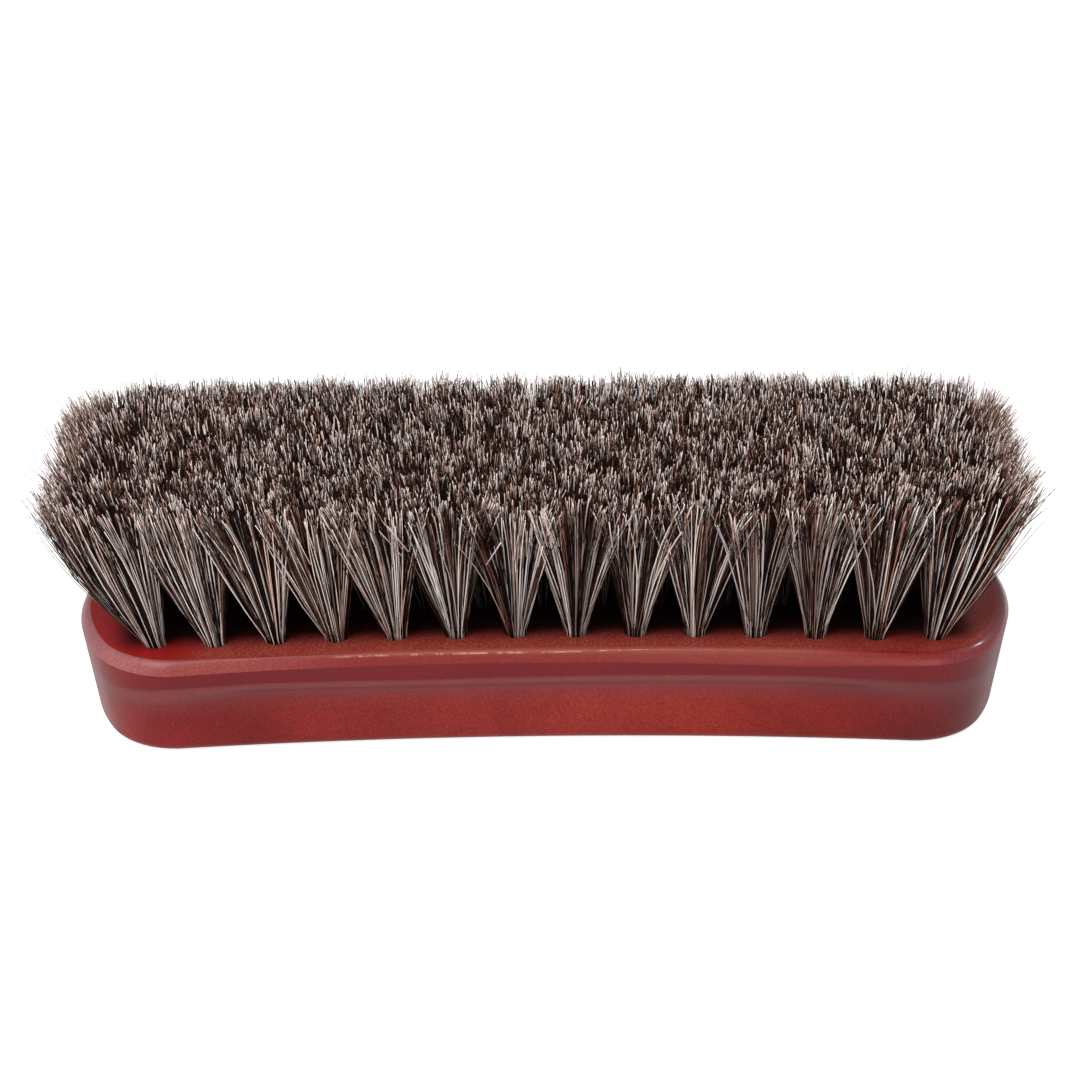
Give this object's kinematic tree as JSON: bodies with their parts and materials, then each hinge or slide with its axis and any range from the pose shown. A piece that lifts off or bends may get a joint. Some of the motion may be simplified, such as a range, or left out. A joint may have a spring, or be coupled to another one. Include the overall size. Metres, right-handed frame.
{
  "type": "leather cleaning brush",
  "caption": "Hand brush for leather: a waisted hardwood block with finger grooves, drilled and set with rows of fanned horsehair tufts.",
  "frame": {"origin": "middle of the block's flat back, on which the brush rests", "axes": "+X along the block, +Y across it, +Z from the back towards the hair"},
  "size_m": [0.172, 0.0617, 0.049],
  "materials": {
    "stained_wood": "red-brown stain under satin lacquer, worn along the rim",
    "horse_hair": "mixed black, brown and grey natural hair, matt to soft sheen"
  },
  "bodies": {
    "root": {"block": "stained_wood", "tuft_row1_01": "horse_hair", "tuft_row1_02": "horse_hair", "tuft_row1_03": "horse_hair", "tuft_row1_04": "horse_hair", "tuft_row1_05": "horse_hair", "tuft_row1_06": "horse_hair", "tuft_row1_07": "horse_hair", "tuft_row1_08": "horse_hair", "tuft_row1_09": "horse_hair", "tuft_row1_10": "horse_hair", "tuft_row1_11": "horse_hair", "tuft_row1_12": "horse_hair", "tuft_row1_13": "horse_hair", "tuft_row1_14": "horse_hair", "tuft_row2_01": "horse_hair", "tuft_row2_02": "horse_hair", "tuft_row2_03": "horse_hair", "tuft_row2_04": "horse_hair", "tuft_row2_05": "horse_hair", "tuft_row2_06": "horse_hair", "tuft_row2_07": "horse_hair", "tuft_row2_08": "horse_hair", "tuft_row2_09": "horse_hair", "tuft_row2_10": "horse_hair", "tuft_row2_11": "horse_hair", "tuft_row2_12": "horse_hair", "tuft_row2_13": "horse_hair", "tuft_row2_14": "horse_hair", "tuft_row2_15": "horse_hair", "tuft_row3_01": "horse_hair", "tuft_row3_02": "horse_hair", "tuft_row3_03": "horse_hair", "tuft_row3_04": "horse_hair", "tuft_row3_05": "horse_hair", "tuft_row3_06": "horse_hair", "tuft_row3_07": "horse_hair", "tuft_row3_08": "horse_hair", "tuft_row3_09": "horse_hair", "tuft_row3_10": "horse_hair", "tuft_row3_11": "horse_hair", "tuft_row3_12": "horse_hair", "tuft_row3_13": "horse_hair", "tuft_row3_14": "horse_hair", "tuft_row4_01": "horse_hair", "tuft_row4_02": "horse_hair", "tuft_row4_03": "horse_hair", "tuft_row4_04": "horse_hair", "tuft_row4_05": "horse_hair", "tuft_row4_06": "horse_hair", "tuft_row4_07": "horse_hair", "tuft_row4_08": "horse_hair", "tuft_row4_09": "horse_hair", "tuft_row4_10": "horse_hair", "tuft_row4_11": "horse_hair", "tuft_row4_12": "horse_hair", "tuft_row4_13": "horse_hair", "tuft_row4_14": "horse_hair", "tuft_row4_15": "horse_hair"}
  },
  "joints": []
}
